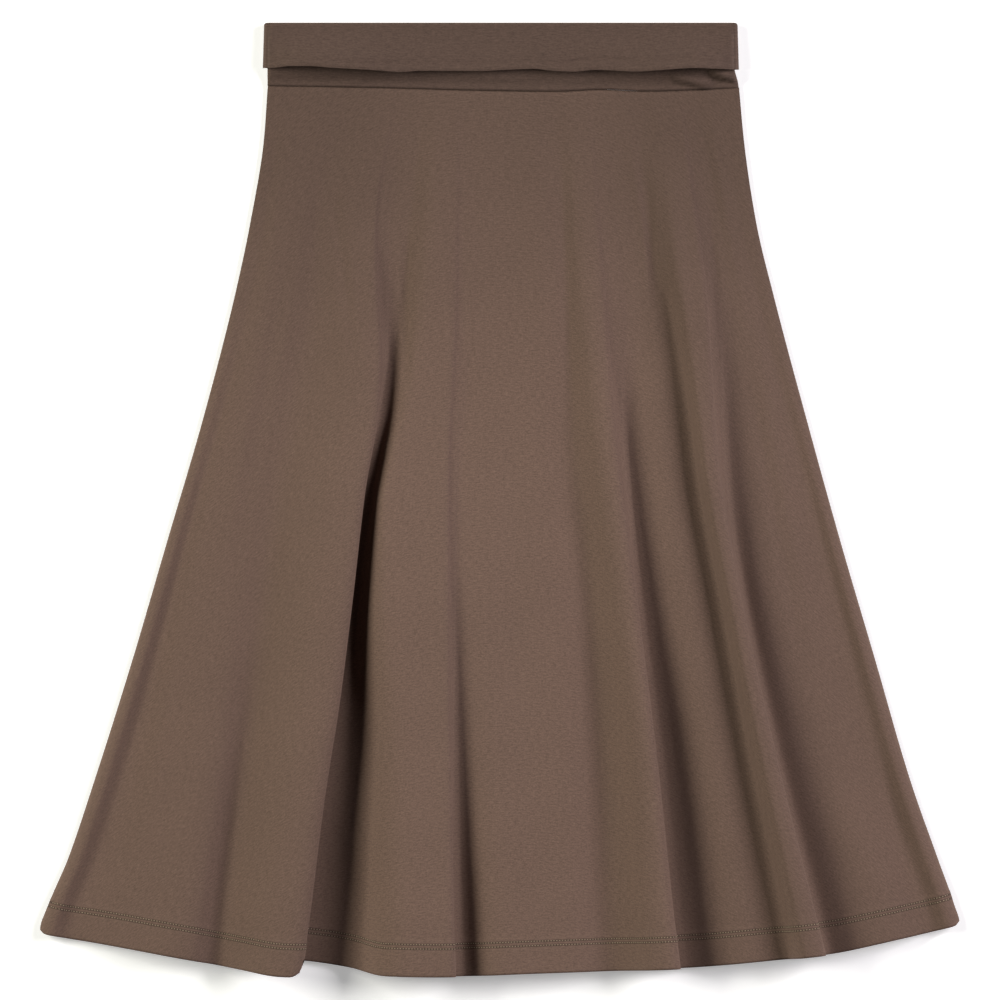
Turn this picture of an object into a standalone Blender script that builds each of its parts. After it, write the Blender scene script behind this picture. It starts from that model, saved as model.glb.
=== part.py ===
# A woman's flared skirt in fine brown jersey, laid flat with its front up.
# A front and a back panel are sewn at both sides, and a doubled waistband is folded down once.
# X runs across the skirt, +Y points to the waist, and Z is height over the table.
# Sizes are in millimetres until the meshes are made. Depth is measured down from the waist's top fold.

import math

import bpy
import numpy as np

MM = 0.001

# Overall size
LENGTH = 681.0
SEAM_GAP = 0.3

# Panels: single jersey, with the hem turned up inside
PANEL_WALL = 1.1
HEM_WALL = 1.8
HEM_TURN_UP = 24.0
HEM_STEP = 1.5
BACK_MID_Z = PANEL_WALL / 2
FRONT_MID_Z = 2.3
FRONT_HEM_RISE = 1.1
FRONT_HEM_RISE_RUN = 45.0
BACK_SIDE_INSET = 0.6
BACK_HEM_INSET = 2.5

# Waistband: doubled jersey, folded over at the top
BAND_WALL = 2.0
BAND_TURN_RADIUS = 1.25
BAND_FRONT_MID_Z = 6.2
BAND_BACK_MID_Z = 3.5
SEAM_FRONT_MID_Z = 3.3
SEAM_BACK_MID_Z = BAND_WALL / 2
BAND_LEVEL_DEPTH = 34.5
BAND_ROWS_OVER_SEAM = (0.0, 2.5, 5.0, 8.0, 11.0, 25.0)
BAND_LEFT = -164.8
BAND_RIGHT = 166.8
FLAP_FLARE = 0.9
RIGHT_END_SPREAD = 3.2
RIGHT_END_START = 31.0

# Outline of the sides, a row for each depth
SIDE_OUTLINE = (
    # depth, left, right
    (45.0, -165.4, 171.1),
    (84.0, -168.2, 174.7),
    (141.0, -177.5, 183.2),
    (198.0, -189.6, 196.8),
    (284.0, -211.8, 219.6),
    (369.5, -236.8, 243.2),
    (455.0, -261.8, 268.2),
    (541.0, -288.9, 293.2),
    (598.0, -308.2, 313.2),
    (627.0, -320.6, 323.4),
    (648.0, -327.4, 328.4),
    (681.0, -329.0, 329.0),
)

# Seam between the waistband and the panels
WAIST_SEAM = (
    # across, depth
    (-170.0, 44.9),
    (-93.9, 46.1),
    (-13.9, 48.2),
    (39.6, 48.9),
    (71.8, 47.6),
    (100.4, 48.8),
    (170.0, 46.4),
)

# Free edge of the folded-down flap, with how far it stands off the band under it
FLAP_EDGE = (
    # across, depth, lift
    (-168.0, 32.6, 0.2),
    (-143.9, 31.1, 2.5),
    (-102.5, 33.6, 4.0),
    (-71.8, 35.6, 2.5),
    (-13.9, 34.8, 0.8),
    (24.6, 33.3, 1.4),
    (52.5, 35.3, 1.0),
    (98.2, 35.3, 1.8),
    (138.9, 32.9, 3.5),
    (171.0, 33.8, 0.2),
)

# Hem of the front, left of the main fold and right of it
HEM_LEFT = (
    # across, depth
    (-328.4, 645.8),
    (-326.2, 649.4),
    (-321.1, 651.7),
    (-286.8, 657.4),
    (-235.4, 666.6),
    (-183.9, 675.9),
    (-157.0, 680.5),
    (-149.6, 680.2),
    (-144.5, 677.8),
    (-141.2, 673.0),
)
HEM_RIGHT = (
    # across, depth
    (-190.0, 664.0),
    (-140.4, 669.5),
    (-106.8, 674.5),
    (-81.1, 680.2),
    (-42.5, 680.9),
    (21.8, 678.8),
    (131.1, 675.0),
    (193.2, 669.5),
    (234.6, 665.2),
    (278.9, 655.9),
    (321.8, 646.0),
    (325.8, 644.2),
    (328.4, 640.5),
)

# Folds of the front, from left to right. Each lies over to the right, so its edge overhangs a tuck.
# edge: the fold's right side. crest, foot: from edge back to the crest, and to where it starts to rise.
# tuck: width hidden under it. run: from edge to floor. shoulder: share of its height reached a third of
# the way up. The heights are over the panel's flat cloth.
MAIN_FOLD = (
    # depth, edge, crest height, crest, foot, foot height, tuck, run, floor height, shoulder
    (45.0, -74.0, 0.0, 14.0, 34.0, 0.0, 0.0, 14.0, 0.0, 0.31),
    (148.0, -89.0, 4.0, 14.0, 42.0, 0.3, 0.0, 16.0, 0.0, 0.31),
    (198.0, -87.0, 8.0, 13.0, 46.0, 1.0, 0.0, 14.0, 0.0, 0.31),
    (235.0, -85.0, 11.5, 11.0, 54.0, 1.0, 0.0, 7.0, 0.0, 0.31),
    (277.0, -87.0, 14.5, 8.0, 60.0, 1.5, 2.0, 3.5, 1.0, 0.36),
    (334.0, -96.0, 19.0, 9.0, 62.0, 2.5, 8.0, 3.5, 0.5, 0.4),
    (412.0, -105.0, 24.5, 12.0, 62.0, 3.5, 15.0, 4.0, 0.0, 0.42),
    (484.0, -114.0, 28.0, 13.0, 62.0, 4.0, 20.0, 5.0, 0.0, 0.42),
    (555.0, -125.0, 30.0, 14.0, 62.0, 4.5, 25.0, 6.0, 0.0, 0.42),
    (627.0, -134.0, 31.0, 14.0, 64.0, 5.0, 28.0, 7.0, 0.0, 0.42),
    (681.0, -141.2, 31.0, 13.0, 61.0, 5.5, 29.0, 8.0, 0.0, 0.42),
)
SMALL_FOLD = (
    # depth, edge, crest height, crest, foot, foot height, tuck, run, floor height, shoulder
    (45.0, -30.0, 0.0, 12.0, 24.0, 0.0, 0.0, 14.0, 0.0, 0.4),
    (198.0, -32.0, 8.0, 20.0, 38.0, 0.0, 0.0, 26.0, 4.0, 0.4),
    (270.0, -35.0, 9.0, 28.0, 43.5, 1.0, 0.0, 18.0, 5.0, 0.5),
    (305.0, -36.5, 10.5, 37.0, 48.5, 1.0, 0.0, 13.0, 6.5, 0.55),
    (345.0, -37.0, 14.0, 44.0, 54.5, 1.0, 0.0, 12.0, 9.0, 0.6),
    (412.0, -36.5, 19.5, 43.0, 62.5, 1.0, 0.0, 9.0, 13.0, 0.6),
    (519.0, -35.0, 22.5, 36.0, 72.0, 1.0, 2.0, 7.0, 10.5, 0.36),
    (584.0, -34.0, 26.0, 36.0, 77.0, 1.5, 4.0, 7.0, 9.0, 0.3),
    (640.0, -33.0, 29.0, 37.0, 80.0, 1.5, 6.0, 8.0, 8.0, 0.25),
    (681.0, -32.0, 29.5, 38.0, 84.0, 1.5, 7.0, 9.0, 8.0, 0.25),
)
RIGHT_FOLD = (
    # depth, edge, crest height, crest, foot, foot height, tuck, run, floor height, shoulder
    (45.0, 62.0, 0.0, 10.0, 22.0, 0.0, 0.0, 14.0, 0.0, 0.35),
    (120.0, 68.0, 3.0, 10.0, 24.0, 0.5, 0.0, 26.0, 0.0, 0.35),
    (198.0, 74.0, 8.0, 9.0, 26.0, 2.0, 0.0, 28.0, 1.0, 0.35),
    (305.0, 84.0, 16.0, 7.0, 31.0, 2.5, 0.0, 9.0, 2.5, 0.35),
    (412.0, 98.0, 21.0, 7.0, 33.0, 4.5, 4.0, 6.0, 3.5, 0.3),
    (519.0, 111.5, 26.5, 7.0, 37.0, 5.0, 11.0, 7.0, 1.5, 0.3),
    (627.0, 123.0, 29.5, 8.0, 46.0, 5.5, 17.0, 8.0, 1.5, 0.3),
    (681.0, 129.0, 30.5, 8.0, 50.0, 5.5, 19.0, 9.0, 1.5, 0.3),
)
OUTER_FOLD = (
    # depth, edge, crest height, crest, foot, foot height, tuck, run, floor height, shoulder
    (45.0, 128.0, 0.0, 12.0, 26.0, 0.0, 0.0, 12.0, 0.0, 0.4),
    (110.0, 136.0, 4.0, 13.0, 34.0, 0.0, 0.0, 16.0, 0.0, 0.4),
    (162.0, 143.0, 9.0, 15.0, 33.0, 1.0, 0.0, 18.0, 2.0, 0.4),
    (198.0, 147.0, 13.0, 14.0, 27.0, 2.0, 0.0, 20.0, 3.0, 0.4),
    (305.0, 154.5, 21.0, 8.5, 16.0, 6.0, 0.0, 12.0, 4.5, 0.4),
    (412.0, 172.5, 25.5, 7.5, 15.0, 10.0, 2.0, 5.5, 7.0, 0.4),
    (519.0, 196.0, 28.5, 9.5, 19.0, 12.0, 3.0, 5.5, 6.5, 0.4),
    (627.0, 222.5, 30.5, 12.0, 24.0, 13.0, 4.0, 6.0, 6.5, 0.4),
    (681.0, 235.5, 30.5, 13.0, 27.0, 13.0, 4.0, 6.0, 6.5, 0.4),
)
FOLDS = (MAIN_FOLD, SMALL_FOLD, RIGHT_FOLD, OUTER_FOLD)

# How a fold rises from its foot to its crest, in shares of the way and of its height
FOLD_RISE = (
    # way, share of the rise, share of the shoulder, steps to the next
    (0.0, 0.0, 0.0, 1),
    (0.35, 0.0, 1.0, 2),
    (0.7, 0.68, 0.39, 2),
    (1.0, 1.0, 0.0, 2),
)

# How its cloth turns under after the crest, in shares of the fold's own sizes
FOLD_TURN = (
    # crest, tuck, run, height, steps to the next
    (0.35, 0.0, 0.0, 0.985, 1),
    (0.0, 0.0, 0.0, 0.88, 2),
    (0.0, 0.35, 0.1, 0.62, 1),
    (0.0, 0.9, 0.3, 0.36, 1),
    (0.0, 1.0, 0.45, 0.25, 1),
    (0.0, 0.9, 0.55, 0.14, 1),
    (0.0, 0.5, 0.75, 0.04, 2),
    (0.0, 0.0, 1.0, 0.0, 2),
)

# Rolled cloth along each side, and the flat lengths next to it
SIDE_ROLL = (
    # depth, rim inset, rim height, groove inset, groove height
    (45.0, 3.0, 0.3, 8.0, 0.3),
    (198.0, 4.0, 1.0, 11.0, 0.8),
    (305.0, 5.0, 2.4, 11.5, 0.8),
    (412.0, 6.0, 4.2, 13.0, 0.6),
    (519.0, 7.0, 5.4, 16.0, 0.5),
    (681.0, 8.0, 5.6, 19.0, 0.5),
)
LEFT_SHELF = (
    # depth, outer, outer height, inner, inner height
    (45.0, -150.0, 0.2, -130.0, 0.2),
    (198.0, -168.0, 3.0, -150.0, 3.0),
    (305.0, -198.0, 3.0, -180.0, 5.0),
    (412.0, -221.0, 5.0, -192.0, 7.0),
    (519.0, -236.0, 7.5, -200.0, 10.0),
    (584.0, -250.0, 8.5, -208.0, 12.0),
    (640.0, -260.0, 9.0, -216.0, 13.5),
    (681.0, -272.0, 9.0, -224.0, 14.5),
)
MIDDLE_SHELF = (
    # depth, first way, first height, second way, second height
    (45.0, 0.3, 0.0, 0.7, 0.0),
    (198.0, 0.3, 3.5, 0.7, 3.5),
    (305.0, 0.3, 6.0, 0.7, 5.0),
    (412.0, 0.2, 13.0, 0.7, 9.5),
    (519.0, 0.2, 15.0, 0.7, 11.0),
    (584.0, 0.2, 17.0, 0.7, 12.0),
    (640.0, 0.2, 18.0, 0.7, 13.0),
    (681.0, 0.2, 18.5, 0.7, 13.0),
)
BETWEEN_SHELF = (
    # depth, way, height
    (45.0, 0.5, 0.0),
    (198.0, 0.5, 1.5),
    (305.0, 0.58, 7.5),
    (412.0, 0.6, 12.0),
    (519.0, 0.6, 14.0),
    (627.0, 0.6, 15.0),
    (681.0, 0.6, 15.0),
)
RIGHT_SHELF = (
    # depth, valley way, valley height, hump way, hump height
    (45.0, 0.35, 0.2, 0.7, 0.2),
    (198.0, 0.35, 3.0, 0.7, 2.0),
    (305.0, 0.25, 4.5, 0.65, 4.5),
    (412.0, 0.15, 8.5, 0.5, 7.0),
    (519.0, 0.15, 7.5, 0.36, 6.5),
    (627.0, 0.14, 7.5, 0.6, 7.0),
    (681.0, 0.14, 7.5, 0.6, 7.0),
)

# Low lengthwise waves of the back, which the front follows
BACK_WAVES = (
    # across at waist, across at hem, start depth, height at hem, half width
    (-120.0, -236.0, 300.0, 3.0, 40.0),
    (30.0, 60.0, 340.0, 2.4, 38.0),
    (130.0, 278.0, 300.0, 2.8, 36.0),
)

# Fineness of the meshes
ROWS_TO_HEM = 21
LEFT_STEPS = (2, 2, 2, 3, 3)
SHELF_STEPS = 3
RIM_STEPS = 2
BACK_COLUMNS = 41
BAND_COLUMNS = 36
BAND_SIDE_STEPS = 4
BAND_TURN_STEPS = 6
BAND_FLAP_ROWS = 4
LEAST_SPACING = 0.5
SHARP_ANGLE = 50.0

CLOTH_COLOUR = (0.158, 0.107, 0.080, 1.0)
BAND_COLOUR = (0.120, 0.080, 0.060, 1.0)
CLOTH_ROUGHNESS = 0.9


def column(table, index, at):
    """Value of one column of a table at a place along its first column."""
    rows = np.array(table, float)
    return np.interp(at, rows[:, 0], rows[:, index])


def smooth(value):
    """A soft step from 0 to 1."""
    value = np.clip(value, 0.0, 1.0)
    return value * value * (3.0 - 2.0 * value)


def hem_depth(across, past_main):
    """Depth of the hem, blended from the left curve to the right one under the main fold."""
    left = column(HEM_LEFT, 1, across)
    right = column(HEM_RIGHT, 1, across)
    return left + (right - left) * past_main


def back_rise(across, depth):
    """Height that the low waves of the back add at a place."""
    rise = np.zeros_like(across)
    for waist_x, hem_x, start, height, half_width in BACK_WAVES:
        along = (depth - start) / (LENGTH - start)
        centre = waist_x + (hem_x - waist_x) * depth / LENGTH
        offset = np.clip(np.abs(across - centre) / half_width, 0.0, 1.0)
        rise = rise + height * smooth(along) * (0.5 + 0.5 * np.cos(math.pi * offset))
    return rise


def fold_section(fold, depth):
    """One fold at a depth, from foot to floor: rows of (across, height, past the main fold, steps)."""
    edge, height, crest, foot, foot_z = (column(fold, i, depth) for i in range(1, 6))
    tuck, run, floor_z, shoulder = (column(fold, i, depth) for i in range(6, 10))
    on_main = fold is MAIN_FOLD
    rows = []
    for way, share, added, steps in FOLD_RISE:
        across = edge - foot + (foot - crest) * way
        risen = (height - foot_z) * (share + added * shoulder)
        rows.append((across, foot_z + risen, 1.0 - on_main, steps))
    for i, (crest_share, tuck_share, run_share, share, steps) in enumerate(FOLD_TURN):
        across = edge - crest * crest_share - tuck * tuck_share + run * run_share
        past = smooth(i / (len(FOLD_TURN) - 1)) if on_main else 1.0
        rows.append((across, floor_z + (height - floor_z) * share, past, steps))
    return rows


def shelf_rows(table, depth, start, end):
    """The points of a shelf between two places across: each pair of columns is a way and a height."""
    values = [column(table, i, depth) for i in range(1, len(table[0]))]
    pairs = zip(values[0::2], values[1::2])
    return [(start + (end - start) * way, height, 1.0, SHELF_STEPS) for way, height in pairs]


def front_section(depth):
    """The front at a depth, from left to right: rows of (across, height, past the main fold, steps)."""
    left, right = (column(SIDE_OUTLINE, i, depth) for i in (1, 2))
    rim, rim_z, groove, groove_z = (column(SIDE_ROLL, i, depth) for i in range(1, 5))
    outer, outer_z, inner, inner_z = (column(LEFT_SHELF, i, depth) for i in range(1, 5))
    sides = [(left, 0.0), (left + rim, rim_z), (left + groove, groove_z), (outer, outer_z), (inner, inner_z)]
    rows = [(across, height, 0.0, steps) for (across, height), steps in zip(sides, LEFT_STEPS)]
    small, rightward = fold_section(SMALL_FOLD, depth), fold_section(RIGHT_FOLD, depth)
    outward = fold_section(OUTER_FOLD, depth)
    rows += fold_section(MAIN_FOLD, depth) + small
    rows += shelf_rows(MIDDLE_SHELF, depth, small[-1][0], rightward[0][0]) + rightward
    rows += shelf_rows(BETWEEN_SHELF, depth, rightward[-1][0], outward[0][0]) + outward
    rows += shelf_rows(RIGHT_SHELF, depth, outward[-1][0], right - groove)
    ending = [(right - groove, groove_z), (right - rim, rim_z), (right, 0.0)]
    return np.array(rows + [(across, height, 1.0, RIM_STEPS) for across, height in ending], float)


def spline(points, steps):
    """A smooth curve through points, with a set number of steps in each span."""
    ends = (2 * points[0] - points[1], 2 * points[-1] - points[-2])
    padded = np.vstack([ends[0], points, ends[1]])
    curve = []
    for i, count in enumerate(steps):
        p0, p1, p2, p3 = padded[i : i + 4]
        knots = [0.0]
        for a, b in ((p0, p1), (p1, p2), (p2, p3)):
            knots.append(knots[-1] + max(np.linalg.norm(b[:2] - a[:2]), LEAST_SPACING) ** 0.5)
        t0, t1, t2, t3 = knots
        for t in np.linspace(t1, t2, count, endpoint=False):
            a1 = (t1 - t) / (t1 - t0) * p0 + (t - t0) / (t1 - t0) * p1
            a2 = (t2 - t) / (t2 - t1) * p1 + (t - t1) / (t2 - t1) * p2
            a3 = (t3 - t) / (t3 - t2) * p2 + (t - t2) / (t3 - t2) * p3
            b1 = (t2 - t) / (t2 - t0) * a1 + (t - t0) / (t2 - t0) * a2
            b2 = (t3 - t) / (t3 - t1) * a2 + (t - t1) / (t3 - t1) * a3
            curve.append((t2 - t) / (t2 - t1) * b1 + (t - t1) / (t2 - t1) * b2)
    curve.append(points[-1])
    return np.array(curve)


def row_shares():
    """Shares of the way from waist seam to hem at which the rows lie, closer at the hem's turn-up."""
    skirt_length = LENGTH - WAIST_SEAM[0][1]
    turn_up = 1.0 - HEM_TURN_UP / skirt_length
    step = HEM_STEP / skirt_length
    return list(np.linspace(0.0, turn_up - step, ROWS_TO_HEM)) + [turn_up, 0.5 * (1 + turn_up), 1.0]


def inner_offsets(shares):
    """Half the wall on the inside of each row, with the hem's turn-up added."""
    half = PANEL_WALL / 2
    return [half if i < ROWS_TO_HEM else HEM_WALL - half for i in range(len(shares))]


def front_middle():
    """The middle of the front panel's wall, as rows of points from waist to hem."""
    seam_at = WAIST_SEAM[0][1]
    at_waist, at_hem = front_section(seam_at), front_section(LENGTH)
    steps = at_waist[:-1, 3].astype(int)
    hems = [float(hem_depth(across, past)) for across, _, past, _ in at_hem]
    seam = column(WAIST_SEAM, 1, spline(at_waist[:, :2], steps)[:, 0]) + SEAM_GAP / 2
    rows = []
    for share in row_shares():
        points = []
        for i, hem in enumerate(hems):
            across, height = front_section(seam_at + (hem - seam_at) * share)[i, :2]
            points.append((across, height, hem))
        curve = spline(np.array(points), steps)
        across, height = curve[:, 0], np.maximum(curve[:, 1], 0.0)
        depth = seam + (curve[:, 2] - seam) * share
        over_turn_up = (LENGTH - seam_at) * (1.0 - share) - HEM_TURN_UP
        lifted = FRONT_HEM_RISE * smooth(1.0 - over_turn_up / FRONT_HEM_RISE_RUN)
        z = FRONT_MID_Z + height + lifted + back_rise(across, depth)
        rows.append(np.column_stack([across, LENGTH / 2 - depth, z]))
    return np.array(rows)


def back_middle():
    """The middle of the back panel's wall, as rows of points from waist to hem."""
    along = np.linspace(0.0, 1.0, BACK_COLUMNS)
    _, waist_left, waist_right = SIDE_OUTLINE[0]
    _, hem_left, hem_right = SIDE_OUTLINE[-1]
    hem_x = hem_left + (hem_right - hem_left) * along
    past_main = (hem_x > MAIN_FOLD[-1][1]).astype(float)
    hem = hem_depth(hem_x, past_main) - BACK_HEM_INSET
    seam = column(WAIST_SEAM, 1, waist_left + (waist_right - waist_left) * along) + SEAM_GAP / 2
    rows = []
    for share in row_shares():
        depth = seam + (hem - seam) * share
        left = column(SIDE_OUTLINE, 1, depth) + BACK_SIDE_INSET
        right = column(SIDE_OUTLINE, 2, depth) - BACK_SIDE_INSET
        across = left + (right - left) * along
        rows.append(np.column_stack([across, LENGTH / 2 - depth, BACK_MID_Z + back_rise(across, depth)]))
    return np.array(rows)


def band_loop():
    """Places round the flattened band as (share across, facing): front, right turn, back, left turn."""
    turn = [math.cos(math.pi * i / BAND_SIDE_STEPS) for i in range(BAND_SIDE_STEPS + 1)]
    shares = [i / BAND_COLUMNS for i in range(1, BAND_COLUMNS)]
    loop = [(share, 1.0) for share in shares] + [(1.0, facing) for facing in turn]
    return loop + [(share, -1.0) for share in reversed(shares)] + [(0.0, -facing) for facing in turn]


def band_profile():
    """Rows of the band as (stretch, place on it): from the seam up, over the top and down the flap."""
    profile = [("inner", over_seam) for over_seam in BAND_ROWS_OVER_SEAM]
    profile += [("turn", i / BAND_TURN_STEPS) for i in range(BAND_TURN_STEPS + 1)]
    return profile + [("flap", i / BAND_FLAP_ROWS) for i in range(1, BAND_FLAP_ROWS + 1)]


def band_place(stretch, at, across):
    """Depth of one place on the band, how far it lies outside the inner layer, and its share lowered."""
    seam = column(WAIST_SEAM, 1, across) - SEAM_GAP / 2
    turn_centre = BAND_WALL / 2 + BAND_TURN_RADIUS
    if stretch == "inner":
        depth = seam - at
        level_at = seam - BAND_ROWS_OVER_SEAM[1]
        return depth, 0.0, smooth((depth - BAND_LEVEL_DEPTH) / (level_at - BAND_LEVEL_DEPTH))
    if stretch == "turn":
        depth = turn_centre - BAND_TURN_RADIUS * math.sin(math.pi * at)
        return depth, BAND_TURN_RADIUS * (1.0 - math.cos(math.pi * at)), 0.0
    depth = turn_centre + (column(FLAP_EDGE, 1, across) - turn_centre) * at
    return depth, 2.0 * BAND_TURN_RADIUS, 0.0


def band_middle():
    """The middle of the waistband's wall, as closed rows of points from the seam to the flap's edge."""
    rows = []
    for stretch, at in band_profile():
        flap_share = at if stretch == "flap" else 0.0
        row = []
        for along, facing in band_loop():
            across = BAND_LEFT + (BAND_RIGHT - BAND_LEFT) * along
            depth, outside, lowered = band_place(stretch, at, across)
            if stretch == "inner":
                below = (depth - RIGHT_END_START) / (WAIST_SEAM[-1][1] - RIGHT_END_START)
                across += RIGHT_END_SPREAD * smooth(below) * along**3
            top = BAND_FRONT_MID_Z + (SEAM_FRONT_MID_Z - BAND_FRONT_MID_Z) * lowered + outside
            bottom = BAND_BACK_MID_Z + (SEAM_BACK_MID_Z - BAND_BACK_MID_Z) * lowered - outside
            radius = (top - bottom) / 2
            lift = column(FLAP_EDGE, 2, across) * max(facing, 0.0) * smooth(flap_share)
            if along in (0.0, 1.0):
                reach = outside + FLAP_FLARE * flap_share + radius
                outward = reach * math.sqrt(max(0.0, 1.0 - facing * facing)) - radius
                across += outward if along else -outward
            row.append((across, LENGTH / 2 - depth, (top + bottom) / 2 + radius * facing + lift))
        rows.append(row)
    return np.array(rows)


def wall_normals(grid, closed):
    """Unit normals of a grid of points."""
    down = np.gradient(grid, axis=0)
    if closed:
        across = np.roll(grid, -1, axis=1) - np.roll(grid, 1, axis=1)
    else:
        across = np.gradient(grid, axis=1)
    normals = np.cross(down, across)
    return normals / np.linalg.norm(normals, axis=2, keepdims=True)


def wall_faces(rows, columns, closed):
    """Faces of a wall whose upper points come first, in rows, and whose lower points follow."""
    under = rows * columns
    last = columns if closed else columns - 1
    end = (rows - 1) * columns
    faces = []
    for c in range(last):
        beside = (c + 1) % columns
        for r in range(rows - 1):
            a, b = r * columns + c, r * columns + beside
            d, e = a + columns, b + columns
            faces.append((a, d, e, b))
            faces.append((a + under, b + under, e + under, d + under))
        faces.append((c, beside, beside + under, c + under))
        faces.append((end + beside, end + c, end + c + under, end + beside + under))
    if closed:
        return faces
    for a in range(0, end, columns):
        b, d, e = a + last, a + columns, a + columns + last
        faces.append((d, a, a + under, d + under))
        faces.append((b, e, e + under, b + under))
    return faces


def make_wall(name, grid, above, below, material, closed=False):
    """A closed solid wall round a grid: above and below are the half thicknesses of each row."""
    normals = wall_normals(grid, closed)
    upper = grid + normals * np.array(above)[:, None, None]
    lower = grid - normals * np.array(below)[:, None, None]
    vertices = np.vstack([upper.reshape(-1, 3), lower.reshape(-1, 3)]) * MM
    mesh = bpy.data.meshes.new(name)
    mesh.from_pydata(vertices.tolist(), [], wall_faces(*grid.shape[:2], closed))
    for polygon in mesh.polygons:
        polygon.use_smooth = True
    mesh.set_sharp_from_angle(angle=math.radians(SHARP_ANGLE))
    mesh.materials.append(material)
    bpy.context.scene.collection.objects.link(bpy.data.objects.new(name, mesh))


def cloth_material(name, colour):
    """Matte jersey of one colour."""
    material = bpy.data.materials.new(name)
    material.use_nodes = True
    shader = material.node_tree.nodes["Principled BSDF"]
    shader.inputs["Base Color"].default_value = colour
    shader.inputs["Roughness"].default_value = CLOTH_ROUGHNESS
    shader.inputs["Metallic"].default_value = 0.0
    return material


for leftover in list(bpy.data.objects):
    bpy.data.objects.remove(leftover, do_unlink=True)

outside = [PANEL_WALL / 2] * len(row_shares())
inside = inner_offsets(row_shares())

# Front panel, outside up
make_wall("skirt_front", front_middle(), outside, inside, cloth_material("front_jersey", CLOTH_COLOUR))

# Back panel, outside down on the table
make_wall("skirt_back", back_middle(), inside, outside, cloth_material("back_jersey", CLOTH_COLOUR))

# Waistband, a closed tube folded over at the top
half_band = [BAND_WALL / 2] * len(band_profile())
band_jersey = cloth_material("band_jersey", BAND_COLOUR)
make_wall("waistband", band_middle(), half_band, half_band, band_jersey, closed=True)
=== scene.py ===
import math

import bpy
import numpy as np
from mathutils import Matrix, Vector


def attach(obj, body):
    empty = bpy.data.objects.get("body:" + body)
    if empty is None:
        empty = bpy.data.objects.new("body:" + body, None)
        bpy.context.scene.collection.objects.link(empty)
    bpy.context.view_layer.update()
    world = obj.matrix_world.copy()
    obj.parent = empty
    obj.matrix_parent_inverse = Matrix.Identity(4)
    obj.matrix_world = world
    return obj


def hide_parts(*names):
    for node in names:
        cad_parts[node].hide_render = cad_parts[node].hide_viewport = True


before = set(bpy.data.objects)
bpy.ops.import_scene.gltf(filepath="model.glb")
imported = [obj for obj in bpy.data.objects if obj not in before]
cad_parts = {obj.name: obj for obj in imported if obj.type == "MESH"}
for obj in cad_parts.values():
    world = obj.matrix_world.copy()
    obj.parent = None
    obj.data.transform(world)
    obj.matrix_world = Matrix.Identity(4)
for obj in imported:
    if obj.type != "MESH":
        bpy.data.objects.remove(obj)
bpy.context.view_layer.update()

# The table and the studio
# A white table top that glows faintly, as a light table does, so that shadows on it stay pale.
# Two soft boxes light it, one on each side and a little towards the waist.
# The left one is slightly warm green and the right one slightly pink, as on a copy stand.

TABLE_SIDE = 6.0
TABLE_COLOUR = (0.93, 0.93, 0.93, 1.0)
TABLE_GLOW = 0.35
LAMP_SIZE = (2.00, 1.50)
LAMP_REACH = 3.00
LAMP_HEIGHT = 2.00
LAMP_TOWARDS_WAIST = 0.90
LAMP_POWER = 142.0
LEFT_LAMP_COLOUR = (1.0, 1.0, 0.90)
RIGHT_LAMP_COLOUR = (1.0, 0.965, 1.0)
SKY_STRENGTH = 0.02
CAMERA_HEIGHT = 10.0
PHOTO_WIDTH = 0.7143
PHOTO_CENTRE = (0.0004, -0.0004)
SENSOR_WIDTH = 36.0

table_mesh = bpy.data.meshes.new("table_top")
half_table = TABLE_SIDE / 2
table_corners = [(x * half_table, y * half_table, 0) for x, y in ((-1, -1), (1, -1), (1, 1), (-1, 1))]
table_mesh.from_pydata(table_corners, [], [(0, 1, 2, 3)])
table_top = bpy.data.objects.new("table_top", table_mesh)
bpy.context.scene.collection.objects.link(table_top)
table_white = bpy.data.materials.new("table_white")
table_white.use_nodes = True
table_paint = table_white.node_tree.nodes["Principled BSDF"].inputs
table_paint["Base Color"].default_value = TABLE_COLOUR
table_paint["Roughness"].default_value = 0.9
table_paint["Emission Color"].default_value = (1.0, 1.0, 1.0, 1.0)
table_paint["Emission Strength"].default_value = TABLE_GLOW
table_mesh.materials.append(table_white)

for name, side, colour in (("left_lamp", -1, LEFT_LAMP_COLOUR), ("right_lamp", 1, RIGHT_LAMP_COLOUR)):
    lamp = bpy.data.lights.new(name, "AREA")
    lamp.shape = "RECTANGLE"
    lamp.size, lamp.size_y = LAMP_SIZE
    lamp.energy = LAMP_POWER
    lamp.color = colour
    holder = bpy.data.objects.new(name, lamp)
    holder.location = (side * LAMP_REACH, LAMP_TOWARDS_WAIST, LAMP_HEIGHT)
    aim = Vector((0.0, 0.0, 0.0)) - holder.location
    holder.rotation_euler = aim.to_track_quat("-Z", "Y").to_euler()
    bpy.context.scene.collection.objects.link(holder)

sky = bpy.data.worlds.new("studio")
bpy.context.scene.world = sky
sky.use_nodes = True
sky.node_tree.nodes["Background"].inputs["Color"].default_value = (1.0, 1.0, 1.0, 1.0)
sky.node_tree.nodes["Background"].inputs["Strength"].default_value = SKY_STRENGTH
bpy.context.scene.view_settings.view_transform = "Standard"

camera = bpy.data.cameras.new("camera")
camera.sensor_width = SENSOR_WIDTH
camera.lens = SENSOR_WIDTH * CAMERA_HEIGHT / PHOTO_WIDTH
camera.clip_end = 20.0
camera_stand = bpy.data.objects.new("camera", camera)
camera_stand.location = (*PHOTO_CENTRE, CAMERA_HEIGHT)
bpy.context.scene.collection.objects.link(camera_stand)
bpy.context.scene.camera = camera_stand

# The front panel
# One flared piece of fine brown jersey, with its hem turned up inside, lying over the back panel.
# Below, places are in millimetres: across from the middle, and depth down from the waist's top fold.

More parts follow.
